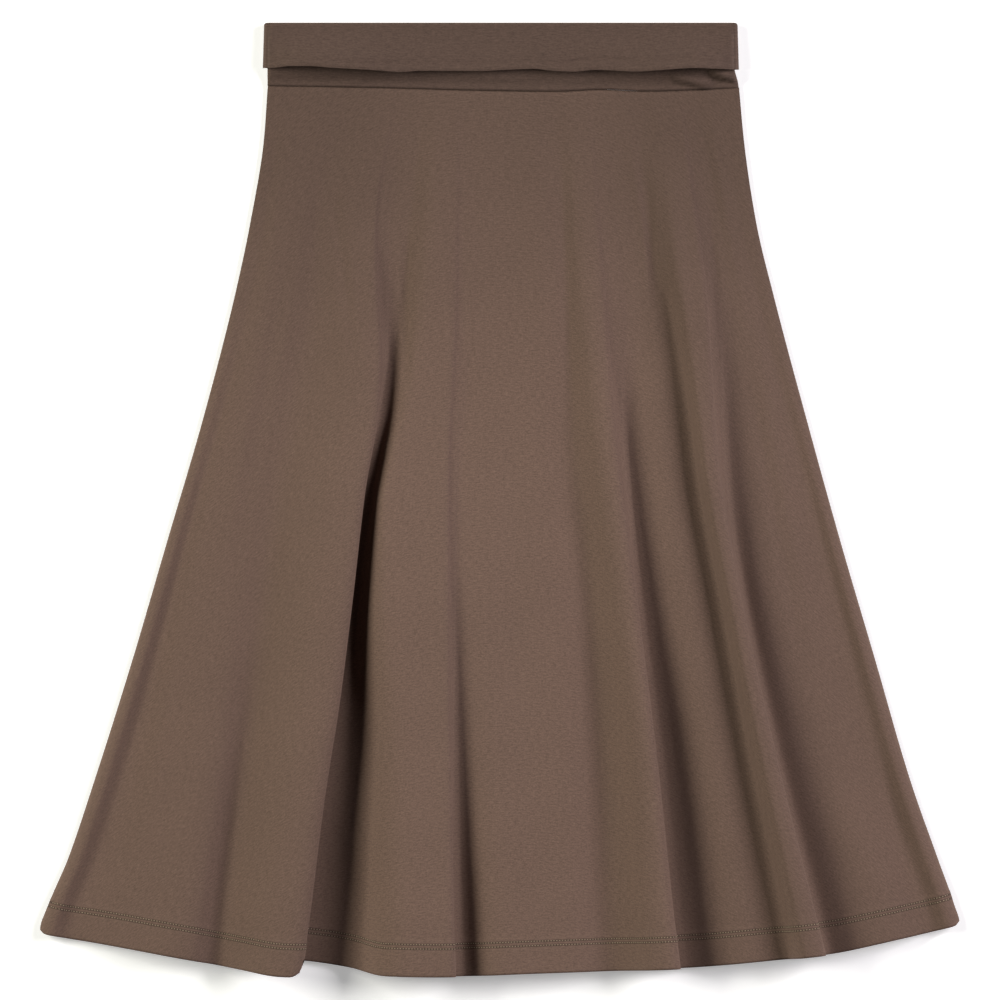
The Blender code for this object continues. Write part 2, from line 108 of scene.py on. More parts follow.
MM = 0.001
LENGTH = 681.0
FRONT_MIDDLE = 2.3
FRONT_HEM_RISE = 1.1
FRONT_HEM_RISE_RUN = 45.0
HEM_TURN_UP = 26.0
HEM_STATIONS = (
    *(30.0, 27.5, 25.8, 24.8, 24.2, 23.7, 23.3, 22.9, 22.4, 21.7, 21.1, 20.6),
    *(20.2, 19.8, 19.2, 18.0, 15.5, 12.5, 9.5, 6.5, 4.0, 1.8, 0.0),
)
FRONT_HALF_CLOTH = 0.45
CORNER_REACH = 16.0
SEAM_GAP = 0.06
FRONT_ROWS = 184

SIDE_OUTLINE = (
    # depth, left, right
    (45.0, -165.4, 171.1),
    (84.0, -168.2, 174.7),
    (141.0, -177.5, 183.2),
    (198.0, -189.6, 196.8),
    (284.0, -211.8, 219.6),
    (369.5, -236.8, 243.2),
    (455.0, -261.8, 268.2),
    (541.0, -288.9, 293.2),
    (598.0, -308.2, 313.2),
    (627.0, -320.6, 323.4),
    (648.0, -327.4, 328.4),
    (681.0, -329.0, 329.0),
)
WAIST_SEAM = (
    # across, depth
    (-170.0, 44.9),
    (-93.9, 46.1),
    (-13.9, 48.2),
    (39.6, 48.9),
    (71.8, 47.6),
    (100.4, 48.8),
    (170.0, 46.4),
)
HEM_LEFT = (
    # across, depth
    (-328.4, 649.8),
    (-321.1, 651.7),
    (-286.8, 657.4),
    (-235.4, 666.6),
    (-183.9, 675.9),
    (-157.0, 680.5),
    (-141.2, 681.0),
)
HEM_RIGHT = (
    # across, depth
    (-190.0, 664.0),
    (-140.4, 669.5),
    (-106.8, 674.5),
    (-81.1, 680.2),
    (-42.5, 680.9),
    (21.8, 678.8),
    (131.1, 675.0),
    (193.2, 669.5),
    (234.6, 665.2),
    (278.9, 655.9),
    (321.8, 646.0),
    (328.4, 644.0),
)
HEM_CORNERS = (
    # corner across, side that the cloth is on, radius
    (-328.4, 1.0, 5.0),
    (-141.2, -1.0, 9.0),
    (328.4, -1.0, 4.5),
)

# Each fold lies over to the right: its crest is some way left of its edge, and its cloth turns under
# the edge by the tuck, then comes out on the floor a run further on.
MAIN_FOLD = (
    # depth, edge, crest height, crest, foot, foot height, tuck, run, floor height, shoulder
    (45.0, -74.0, 0.0, 14.0, 34.0, 0.0, 0.0, 14.0, 0.0, 0.31),
    (148.0, -89.0, 4.0, 14.0, 42.0, 0.3, 0.0, 16.0, 0.0, 0.31),
    (198.0, -87.0, 8.0, 13.0, 46.0, 1.0, 0.0, 14.0, 0.0, 0.31),
    (235.0, -85.0, 11.5, 11.0, 54.0, 1.0, 0.0, 7.0, 0.0, 0.31),
    (277.0, -87.0, 14.5, 8.0, 60.0, 1.5, 2.0, 3.5, 1.0, 0.36),
    (334.0, -96.0, 19.0, 9.0, 62.0, 2.5, 8.0, 3.5, 0.5, 0.4),
    (412.0, -105.0, 24.5, 12.0, 62.0, 3.5, 15.0, 4.0, 0.0, 0.42),
    (484.0, -114.0, 28.0, 13.0, 62.0, 4.0, 20.0, 5.0, 0.0, 0.42),
    (555.0, -125.0, 30.0, 14.0, 62.0, 4.5, 25.0, 6.0, 0.0, 0.42),
    (627.0, -134.0, 31.0, 14.0, 64.0, 5.0, 28.0, 7.0, 0.0, 0.42),
    (681.0, -141.2, 31.0, 13.0, 61.0, 5.5, 29.0, 8.0, 0.0, 0.42),
)
SMALL_FOLD = (
    # depth, edge, crest height, crest, foot, foot height, tuck, run, floor height, shoulder
    (45.0, -30.0, 0.0, 12.0, 24.0, 0.0, 0.0, 14.0, 0.0, 0.4),
    (198.0, -32.0, 8.0, 20.0, 38.0, 0.0, 0.0, 26.0, 4.0, 0.4),
    (270.0, -35.0, 9.0, 28.0, 43.5, 1.0, 0.0, 18.0, 5.0, 0.5),
    (305.0, -36.5, 10.5, 37.0, 48.5, 1.0, 0.0, 13.0, 6.5, 0.55),
    (345.0, -37.0, 14.0, 44.0, 54.5, 1.0, 0.0, 12.0, 9.0, 0.6),
    (412.0, -36.5, 19.5, 43.0, 62.5, 1.0, 0.0, 9.0, 13.0, 0.6),
    (519.0, -35.0, 22.5, 36.0, 72.0, 1.0, 2.0, 7.0, 10.5, 0.36),
    (584.0, -34.0, 26.0, 36.0, 77.0, 1.5, 4.0, 7.0, 9.0, 0.3),
    (640.0, -33.0, 29.0, 37.0, 80.0, 1.5, 6.0, 8.0, 8.0, 0.25),
    (681.0, -32.0, 29.5, 38.0, 84.0, 1.5, 7.0, 9.0, 8.0, 0.25),
)
RIGHT_FOLD = (
    # depth, edge, crest height, crest, foot, foot height, tuck, run, floor height, shoulder
    (45.0, 62.0, 0.0, 10.0, 22.0, 0.0, 0.0, 14.0, 0.0, 0.35),
    (120.0, 68.0, 3.0, 10.0, 24.0, 0.5, 0.0, 26.0, 0.0, 0.35),
    (198.0, 74.0, 8.0, 9.0, 26.0, 2.0, 0.0, 28.0, 1.0, 0.35),
    (305.0, 84.0, 16.0, 7.0, 31.0, 2.5, 0.0, 9.0, 2.5, 0.35),
    (412.0, 98.0, 21.0, 7.0, 33.0, 4.5, 4.0, 6.0, 3.5, 0.3),
    (519.0, 111.5, 26.5, 7.0, 37.0, 5.0, 11.0, 7.0, 1.5, 0.3),
    (627.0, 123.0, 29.5, 8.0, 46.0, 5.5, 17.0, 8.0, 1.5, 0.3),
    (681.0, 129.0, 30.5, 8.0, 50.0, 5.5, 19.0, 9.0, 1.5, 0.3),
)
OUTER_FOLD = (
    # depth, edge, crest height, crest, foot, foot height, tuck, run, floor height, shoulder
    (45.0, 128.0, 0.0, 12.0, 26.0, 0.0, 0.0, 12.0, 0.0, 0.4),
    (110.0, 136.0, 4.0, 13.0, 34.0, 0.0, 0.0, 16.0, 0.0, 0.4),
    (162.0, 143.0, 9.0, 15.0, 33.0, 1.0, 0.0, 18.0, 2.0, 0.4),
    (198.0, 147.0, 13.0, 14.0, 27.0, 2.0, 0.0, 20.0, 3.0, 0.4),
    (305.0, 154.5, 21.0, 8.5, 16.0, 6.0, 0.0, 12.0, 4.5, 0.4),
    (412.0, 172.5, 25.5, 7.5, 15.0, 10.0, 2.0, 5.5, 7.0, 0.4),
    (519.0, 196.0, 28.5, 9.5, 19.0, 12.0, 3.0, 5.5, 6.5, 0.4),
    (627.0, 222.5, 30.5, 12.0, 24.0, 13.0, 4.0, 6.0, 6.5, 0.4),
    (681.0, 235.5, 30.5, 13.0, 27.0, 13.0, 4.0, 6.0, 6.5, 0.4),
)
FOLD_RISE = (
    # way from foot to crest, share of the rise, shoulder's share added, steps to the next
    (0.0, 0.0, 0.0, 4),
    (0.35, 0.0, 1.0, 4),
    (0.70, 0.68, 0.39, 4),
    (1.0, 1.0, 0.0, 4),
)
FOLD_TURN = (
    # crest, tuck, run, share of the drop left, steps to the next
    (0.35, 0.0, 0.0, 0.985, 4),
    (0.0, 0.0, 0.0, 0.88, 4),
    (0.0, 0.35, 0.1, 0.62, 3),
    (0.0, 0.9, 0.3, 0.36, 2),
    (0.0, 1.0, 0.45, 0.25, 2),
    (0.0, 0.9, 0.55, 0.14, 3),
    (0.0, 0.5, 0.75, 0.04, 3),
    (0.0, 0.0, 1.0, 0.0, 4),
)
OPEN_STEPS = 6
BETWEEN_STEPS = 4
SIDE_STEPS = 3
SIDE_ROLL = (
    # depth, rim inset, rim height, groove inset, groove height
    (45.0, 3.0, 0.3, 8.0, 0.3),
    (198.0, 4.0, 1.0, 11.0, 0.8),
    (305.0, 5.0, 2.4, 11.5, 0.8),
    (412.0, 6.0, 4.2, 13.0, 0.6),
    (519.0, 7.0, 5.4, 16.0, 0.5),
    (681.0, 8.0, 5.6, 19.0, 0.5),
)
LEFT_SHELF = (
    # depth, outer, outer height, inner, inner height
    (45.0, -150.0, 0.2, -130.0, 0.2),
    (198.0, -168.0, 3.0, -150.0, 3.0),
    (305.0, -198.0, 3.0, -180.0, 5.0),
    (412.0, -221.0, 5.0, -192.0, 7.0),
    (519.0, -236.0, 7.5, -200.0, 10.0),
    (584.0, -250.0, 8.5, -208.0, 12.0),
    (640.0, -260.0, 9.0, -216.0, 13.5),
    (681.0, -272.0, 9.0, -224.0, 14.5),
)
MIDDLE_SHELF = (
    # depth, first way, first height, second way, second height
    (45.0, 0.3, 0.0, 0.7, 0.0),
    (198.0, 0.3, 3.5, 0.7, 3.5),
    (305.0, 0.3, 6.0, 0.7, 5.0),
    (412.0, 0.2, 13.0, 0.7, 9.5),
    (519.0, 0.2, 15.0, 0.7, 11.0),
    (584.0, 0.2, 17.0, 0.7, 12.0),
    (640.0, 0.2, 18.0, 0.7, 13.0),
    (681.0, 0.2, 18.5, 0.7, 13.0),
)
BETWEEN_SHELF = (
    # depth, way, height
    (45.0, 0.5, 0.0),
    (198.0, 0.5, 1.5),
    (305.0, 0.58, 7.5),
    (412.0, 0.6, 12.0),
    (519.0, 0.6, 14.0),
    (627.0, 0.6, 15.0),
    (681.0, 0.6, 15.0),
)
RIGHT_SHELF = (
    # depth, valley way, valley height, hump way, hump height
    (45.0, 0.35, 0.2, 0.7, 0.2),
    (198.0, 0.35, 3.0, 0.7, 2.0),
    (305.0, 0.25, 4.5, 0.65, 4.5),
    (412.0, 0.15, 8.5, 0.5, 7.0),
    (519.0, 0.15, 7.5, 0.36, 6.5),
    (627.0, 0.14, 7.5, 0.6, 7.0),
    (681.0, 0.14, 7.5, 0.6, 7.0),
)
BACK_WAVES = (
    # across at waist, across at hem, start depth, height at hem, half width
    (-120.0, -236.0, 300.0, 3.0, 40.0),
    (30.0, 60.0, 340.0, 2.4, 38.0),
    (130.0, 278.0, 300.0, 2.8, 36.0),
)


def column(table, index, at):
    """Smooth value of one column of a table at places along its first column."""
    rows = np.array(table, float)
    x, y = rows[:, 0], rows[:, index]
    gaps = np.diff(x)
    slopes = np.diff(y) / gaps
    tangents = np.concatenate([[slopes[0]], np.zeros(len(x) - 2), [slopes[-1]]])
    for i in range(1, len(x) - 1):
        if slopes[i - 1] * slopes[i] > 0:
            tangents[i] = 2 * slopes[i - 1] * slopes[i] / (slopes[i - 1] + slopes[i])
    at = np.clip(np.asarray(at, float), x[0], x[-1])
    i = np.clip(np.searchsorted(x, at) - 1, 0, len(x) - 2)
    t = (at - x[i]) / gaps[i]
    start = (1 + 2 * t) * (1 - t) ** 2 * y[i] + t * (1 - t) ** 2 * gaps[i] * tangents[i]
    return start + t * t * (3 - 2 * t) * y[i + 1] + t * t * (t - 1) * gaps[i] * tangents[i + 1]


def smooth(value):
    """A soft step from 0 to 1."""
    value = np.clip(value, 0.0, 1.0)
    return value * value * (3.0 - 2.0 * value)


def back_rise(across, depth):
    """Height that the low waves of the back add at a place."""
    rise = np.zeros(np.shape(across))
    for waist_x, hem_x, start, height, half_width in BACK_WAVES:
        along = (depth - start) / (LENGTH - start)
        centre = waist_x + (hem_x - waist_x) * depth / LENGTH
        offset = np.clip(np.abs(across - centre) / half_width, 0.0, 1.0)
        rise = rise + height * smooth(along) * (0.5 + 0.5 * np.cos(math.pi * offset))
    return rise


def fold_section(fold, depth):
    """One fold at some depths, from foot to floor: a list of (across, height, past the main fold)."""
    edge, height, crest, foot, foot_z = (column(fold, i, depth) for i in range(1, 6))
    tuck, run, floor_z, shoulder = (column(fold, i, depth) for i in range(6, 10))
    on_main = fold is MAIN_FOLD
    lines = []
    for way, share, added, _ in FOLD_RISE:
        risen = (height - foot_z) * (share + added * shoulder)
        lines.append((edge - foot + (foot - crest) * way, foot_z + risen, 1.0 - on_main))
    for i, (crest_share, tuck_share, run_share, share, _) in enumerate(FOLD_TURN):
        across = edge - crest * crest_share - tuck * tuck_share + run * run_share
        past = smooth(i / (len(FOLD_TURN) - 1)) if on_main else 1.0
        lines.append((across, floor_z + (height - floor_z) * share, past))
    return lines


def between(first, second, way, height):
    """A line part of the way from one line to the next."""
    return first[0] + (second[0] - first[0]) * way, height, 1.0


def front_section(depth):
    """The lines that run down the front, from left to right, at some depths."""
    left, right = column(SIDE_OUTLINE, 1, depth), column(SIDE_OUTLINE, 2, depth)
    rim, rim_z, groove, groove_z = (column(SIDE_ROLL, i, depth) for i in range(1, 5))
    outer, outer_z, inner, inner_z = (column(LEFT_SHELF, i, depth) for i in range(1, 5))
    lines = [(left, 0.0 * left, 0.0), (left + rim, rim_z, 0.0), (left + groove, groove_z, 0.0)]
    lines += [(outer, outer_z, 0.0), (inner, inner_z, 0.0)]
    main, small, rightward, outward = (
        fold_section(f, depth) for f in (MAIN_FOLD, SMALL_FOLD, RIGHT_FOLD, OUTER_FOLD)
    )
    first, first_z, second, second_z = (column(MIDDLE_SHELF, i, depth) for i in range(1, 5))
    lines += main + small
    lines.append(between(small[-1], rightward[0], first, first_z))
    lines.append(between(small[-1], rightward[0], second, second_z))
    lines += rightward
    halfway, halfway_z = (column(BETWEEN_SHELF, i, depth) for i in (1, 2))
    lines.append(between(rightward[-1], outward[0], halfway, halfway_z))
    lines += outward
    right_groove = (right - groove, groove_z, 1.0)
    valley, valley_z, hump, hump_z = (column(RIGHT_SHELF, i, depth) for i in range(1, 5))
    lines.append(between(outward[-1], right_groove, valley, valley_z))
    lines.append(between(outward[-1], right_groove, hump, hump_z))
    return lines + [right_groove, (right - rim, rim_z, 1.0), (right, 0.0 * right, 1.0)]


def front_steps():
    """Steps from each line of the front to the next."""
    fold = [row[-1] for row in FOLD_RISE] + [row[-1] for row in FOLD_TURN]
    side = [SIDE_STEPS] * 2
    left = side + [OPEN_STEPS] * 3 + fold + fold + [OPEN_STEPS] * 2
    return left + fold + [BETWEEN_STEPS] + fold + [OPEN_STEPS] * 2 + side


def spline(lines, steps):
    """A smooth surface through lines, each of which is an array of (across, height, ...) rows."""
    ends = (2 * lines[0] - lines[1], 2 * lines[-1] - lines[-2])
    padded = np.concatenate([ends[:1], lines, ends[1:]])
    columns = []
    for i, count in enumerate(steps):
        p0, p1, p2, p3 = padded[i : i + 4]
        gaps = []
        for a, b in ((p0, p1), (p1, p2), (p2, p3)):
            gaps.append(np.maximum(np.linalg.norm((b - a)[:, :2], axis=1, keepdims=True), 0.5) ** 0.5)
        t1 = gaps[0]
        t2 = t1 + gaps[1]
        t3 = t2 + gaps[2]
        for step in range(count):
            t = t1 + (t2 - t1) * step / count
            a1 = (t1 - t) / t1 * p0 + t / t1 * p1
            a2 = (t2 - t) / (t2 - t1) * p1 + (t - t1) / (t2 - t1) * p2
            a3 = (t3 - t) / (t3 - t2) * p2 + (t - t2) / (t3 - t2) * p3
            b1 = (t2 - t) / t2 * a1 + t / t2 * a2
            b2 = (t3 - t) / (t3 - t1) * a2 + (t - t1) / (t3 - t1) * a3
            columns.append((t2 - t) / (t2 - t1) * b1 + (t - t1) / (t2 - t1) * b2)
    columns.append(lines[-1])
    return np.array(columns)


def row_shares():
    """Shares of the way from waist seam to hem at which rows lie, closer over the hem's turn-up."""
    skirt_length = LENGTH - WAIST_SEAM[0][1]
    hem = 1.0 - np.array(HEM_STATIONS) / skirt_length
    return np.concatenate([np.linspace(0.0, hem[0], FRONT_ROWS, endpoint=False), hem])


def hem_depth(across, past):
    """Depth of the hem's edge: the left table's before the main fold, and the right one's past it."""
    left, right = column(HEM_LEFT, 1, across), column(HEM_RIGHT, 1, across)
    return left + (right - left) * np.clip(past, 0.0, 1.0)


def corner_cut(across, past):
    """How far the hem's rounded corners lie above its line, at places along it."""
    cut = np.zeros(len(across))
    for corner, side, radius in HEM_CORNERS:
        inward = np.clip((across - corner) * side / radius, 0.0, 1.0)
        near = (across - corner) * side < radius
        facing_up = past < 0.5 if corner < 0 else past >= 0.5
        rounded = radius * (1.0 - np.sqrt(1.0 - (1.0 - inward) ** 2))
        cut = np.maximum(cut, np.where(near & facing_up, rounded, 0.0))
    return cut


def front_middle():
    """The middle of the front's cloth as (row, column, xyz) in millimetres."""
    seam_at = WAIST_SEAM[0][1]
    steps = front_steps()
    shares = row_shares()
    lines = []
    for i, (at_hem, _, past) in enumerate(front_section(np.array([LENGTH]))):
        hem = hem_depth(at_hem, past)
        across, height, past = front_section(seam_at + (hem - seam_at) * shares)[i]
        lines.append(np.column_stack([across, height * np.ones(len(shares)), past * np.ones(len(shares))]))
    surface = spline(np.array(lines), steps).transpose(1, 0, 2)
    across, height = surface[..., 0], np.maximum(surface[..., 1], 0.0)
    seam = column(WAIST_SEAM, 1, across[0]) + SEAM_GAP / 2
    depth = seam + (hem_depth(across[-1], surface[-1, :, 2]) - seam) * shares[:, None]
    over_hem = (LENGTH - seam_at) * (1.0 - shares[:, None])
    depth = depth - corner_cut(across[-1], surface[-1, :, 2]) * smooth(1.0 - over_hem / CORNER_REACH)
    over_turn_up = over_hem - HEM_TURN_UP
    lifted = FRONT_HEM_RISE * smooth(1.0 - over_turn_up / FRONT_HEM_RISE_RUN)
    z = FRONT_MIDDLE + height + lifted + back_rise(across, depth)
    return np.stack([across, LENGTH / 2 - depth, z], axis=2), shares


def surface_normals(grid, closed=False):
    """Unit normals of a grid of points."""
    down = np.gradient(grid, axis=0)
    across = np.roll(grid, -1, 1) - np.roll(grid, 1, 1) if closed else np.gradient(grid, axis=1)
    normals = np.cross(down, across)
    return normals / np.maximum(np.linalg.norm(normals, axis=2, keepdims=True), 1e-9)


def make_cloth(name, grid, above, below, cut, material, closed=False):
    """A thin closed shell round a grid in millimetres. cut holds each point's place on the flat cloth."""
    rows, columns = grid.shape[:2]
    normals = surface_normals(grid, closed)
    above, below = np.reshape(above, (-1, 1, 1)), np.reshape(below, (-1, 1, 1))
    upper = (grid + normals * above).reshape(-1, 3)
    lower = (grid - normals * below).reshape(-1, 3)
    under = rows * columns
    last = columns if closed else columns - 1
    end = (rows - 1) * columns
    faces = []
    for c in range(last):
        beside = (c + 1) % columns
        for r in range(rows - 1):
            a, b = r * columns + c, r * columns + beside
            faces.append((a, a + columns, b + columns, b))
            faces.append((a + under, b + under, b + columns + under, a + columns + under))
        faces.append((c, beside, beside + under, c + under))
        faces.append((end + beside, end + c, end + c + under, end + beside + under))
    if not closed:
        for a in range(0, end, columns):
            b, d, e = a + last, a + columns, a + columns + last
            faces.append((d, a, a + under, d + under))
            faces.append((b, e, e + under, b + under))
    mesh = bpy.data.meshes.new(name)
    mesh.from_pydata((np.vstack([upper, lower]) * MM).tolist(), [], faces)
    mesh.polygons.foreach_set("use_smooth", [True] * len(faces))
    mesh.materials.append(material)
    places = np.vstack([cut.reshape(-1, 2), cut.reshape(-1, 2)]) * MM
    corners = np.empty(len(mesh.loops), int)
    mesh.loops.foreach_get("vertex_index", corners)
    mesh.uv_layers.new(name="cut").data.foreach_set("uv", places[corners].ravel())
    piece = bpy.data.objects.new(name, mesh)
    bpy.context.scene.collection.objects.link(piece)
    return piece


def flared_cut(grid, shares, spread, waist_radius):
    """Places on the flat cut of a flared panel, a sector of a ring, in millimetres."""
    lengths = np.linalg.norm(np.diff(grid, axis=1), axis=2)
    along = np.concatenate([np.zeros((len(grid), 1)), np.cumsum(lengths, axis=1)], axis=1)
    angle = (along / along[:, -1:] - 0.5) * math.radians(spread)
    radius = waist_radius + shares[:, None] * (LENGTH - WAIST_SEAM[0][1])
    return np.stack([radius * np.sin(angle), -radius * np.cos(angle)], axis=2)


SOFT_CREASES = (
    # start across, start depth, end across, end depth, half width, height
    (-66.0, 150.0, -66.0, 262.0, 5.0, -1.5),
    (-118.0, 120.0, -104.0, 240.0, 7.0, -1.2),
    (-92.0, 150.0, -90.0, 215.0, 8.0, 1.0),
    (44.0, 90.0, 53.0, 300.0, 8.0, -1.3),
    (104.0, 100.0, 113.0, 210.0, 6.0, -1.6),
    (120.0, 110.0, 134.0, 230.0, 9.0, 1.2),
    (150.0, 130.0, 157.0, 250.0, 6.0, -1.2),
    (176.0, 240.0, 222.0, 480.0, 8.0, -1.4),
    (-150.0, 160.0, -196.0, 430.0, 9.0, -1.3),
    (-30.0, 120.0, -24.0, 280.0, 10.0, -0.8),
    (6.0, 260.0, 14.0, 560.0, 13.0, -0.7),
    (60.0, 330.0, 76.0, 600.0, 10.0, -0.9),
    (-232.0, 430.0, -262.0, 660.0, 9.0, 0.9),
    (262.0, 420.0, 296.0, 650.0, 10.0, -1.0),
)


def crease_rise(creases, across, depth):
    """Height that soft creases add at places: each fades out at both ends and to its sides."""
    rise = np.zeros(np.shape(across))
    for start_x, start, end_x, end, half_width, height in creases:
        run, drop = end_x - start_x, end - start
        length = math.hypot(run, drop)
        along = ((across - start_x) * run + (depth - start) * drop) / length**2
        offset = np.abs((across - start_x) * drop - (depth - start) * run) / length / half_width
        fade = np.sin(math.pi * np.clip(along, 0.0, 1.0)) ** 0.7
        rise = rise + height * fade * (0.5 + 0.5 * np.cos(math.pi * np.clip(offset, 0.0, 1.0)))
    return rise


def socket(group, name, kind, value=None, out=False):
    """Adds a named input or output to a node group."""
    added = group.interface.new_socket(name=name, in_out="OUTPUT" if out else "INPUT", socket_type=kind)
    if value is not None:
        added.default_value = value


def formula(tree, operation, *values):
    """A math node fed by numbers or by other nodes' outputs. Returns its output."""
    node = tree.nodes.new("ShaderNodeMath")
    node.operation = operation
    for place, value in zip(node.inputs, values):
        if isinstance(value, (int, float)):
            place.default_value = value
        else:
            tree.links.new(value, place)
    return node.outputs[0]


def grain(tree, place, stretch, scale, detail=2.0):
    """Fractal noise over the cut, stretched along its rows. Returns its value output."""
    squash = tree.nodes.new("ShaderNodeMapping")
    squash.inputs["Scale"].default_value = stretch
    noise = tree.nodes.new("ShaderNodeTexNoise")
    noise.inputs["Scale"].default_value = scale
    noise.inputs["Detail"].default_value = detail
    tree.links.new(place, squash.inputs["Vector"])
    tree.links.new(squash.outputs["Vector"], noise.inputs["Vector"])
    return noise.outputs["Fac"]


knit = bpy.data.node_groups.new("jersey_knit", "ShaderNodeTree")
socket(knit, "Round", "NodeSocketFloat", 0.0)
socket(knit, "Down", "NodeSocketFloat", 0.0)
socket(knit, "Stitch Width", "NodeSocketFloat", 0.00075)
socket(knit, "Stitch Height", "NodeSocketFloat", 0.0006)
socket(knit, "Streaks", "NodeSocketFloat", 0.75)
socket(knit, "Shade", "NodeSocketFloat", out=True)
socket(knit, "Relief", "NodeSocketFloat", out=True)
knit_in = knit.nodes.new("NodeGroupInput").outputs
knit_out = knit.nodes.new("NodeGroupOutput").inputs
# Each stitch is a V: its two legs lean in from the sides of its column. Slubs, streaks and clouds are
# the uneven yarn, the rows it makes and the broad mottle, and each adds its share to the shade.
wale = formula(knit, "DIVIDE", knit_in["Round"], knit_in["Stitch Width"])
leg = formula(knit, "PINGPONG", wale, 0.5)
course = formula(knit, "DIVIDE", knit_in["Down"], knit_in["Stitch Height"])
leaning = formula(knit, "ADD", course, formula(knit, "MULTIPLY", leg, 1.1))
wave = formula(knit, "SINE", formula(knit, "MULTIPLY", leaning, math.tau))
yarn = formula(knit, "MULTIPLY_ADD", wave, 0.5, 0.5)
ridge = formula(knit, "SINE", formula(knit, "MULTIPLY", leg, math.tau))
yarn_part = formula(knit, "MULTIPLY_ADD", yarn, 0.6, 0.4)
ridge_part = formula(knit, "MULTIPLY_ADD", ridge, 0.7, 0.3)
stitch = formula(knit, "MULTIPLY", yarn_part, ridge_part)
flat_place = knit.nodes.new("ShaderNodeCombineXYZ")
knit.links.new(knit_in["Round"], flat_place.inputs["X"])
knit.links.new(knit_in["Down"], flat_place.inputs["Y"])
rows_of_yarn = grain(knit, flat_place.outputs[0], (180.0, 900.0, 1.0), 1.0, 3.0)
slubs = grain(knit, flat_place.outputs[0], (560.0, 1100.0, 1.0), 1.0, 2.0)
clouds = grain(knit, flat_place.outputs[0], (14.0, 20.0, 1.0), 1.0, 2.0)
streaked = formula(knit, "MULTIPLY", formula(knit, "SUBTRACT", rows_of_yarn, 0.5), knit_in["Streaks"])
slubbed = formula(knit, "MULTIPLY_ADD", formula(knit, "SUBTRACT", slubs, 0.5), 0.8, streaked)
clouded = formula(knit, "MULTIPLY_ADD", formula(knit, "SUBTRACT", clouds, 0.5), 0.12, slubbed)
knitted = formula(knit, "MULTIPLY_ADD", formula(knit, "SUBTRACT", stitch, 0.42), 0.22, clouded)
knit.links.new(formula(knit, "ADD", knitted, 1.0), knit_out["Shade"])
knit.links.new(formula(knit, "MULTIPLY_ADD", slubs, 0.35, stitch), knit_out["Relief"])


def stitch_row_painted_shade(tree, radius, hem_radius):
    """Painted shade of the cloth along the two rows of the hem's stitches, in the grooves where they pull
    it in.
    """
    middle = (hem_radius - sum(STITCH_ROWS) / 2) * MM
    apart = abs(STITCH_ROWS[1] - STITCH_ROWS[0]) / 2 * MM
    from_middle = formula(tree, "ABSOLUTE", formula(tree, "SUBTRACT", radius, middle))
    from_row = formula(tree, "ABSOLUTE", formula(tree, "SUBTRACT", from_middle, apart))
    row_shade = tree.nodes.new("ShaderNodeMapRange")
    row_shade.interpolation_type = "SMOOTHSTEP"
    row_shade.inputs["From Min"].default_value = ROW_SHADE_HALF_WIDTH * MM
    row_shade.inputs["From Max"].default_value = ROW_SHADE_REACH * MM
    row_shade.inputs["To Min"].default_value = ROW_PAINTED_SHADE
    row_shade.inputs["To Max"].default_value = 1.0
    tree.links.new(from_row, row_shade.inputs["Value"])
    return row_shade.outputs["Result"]


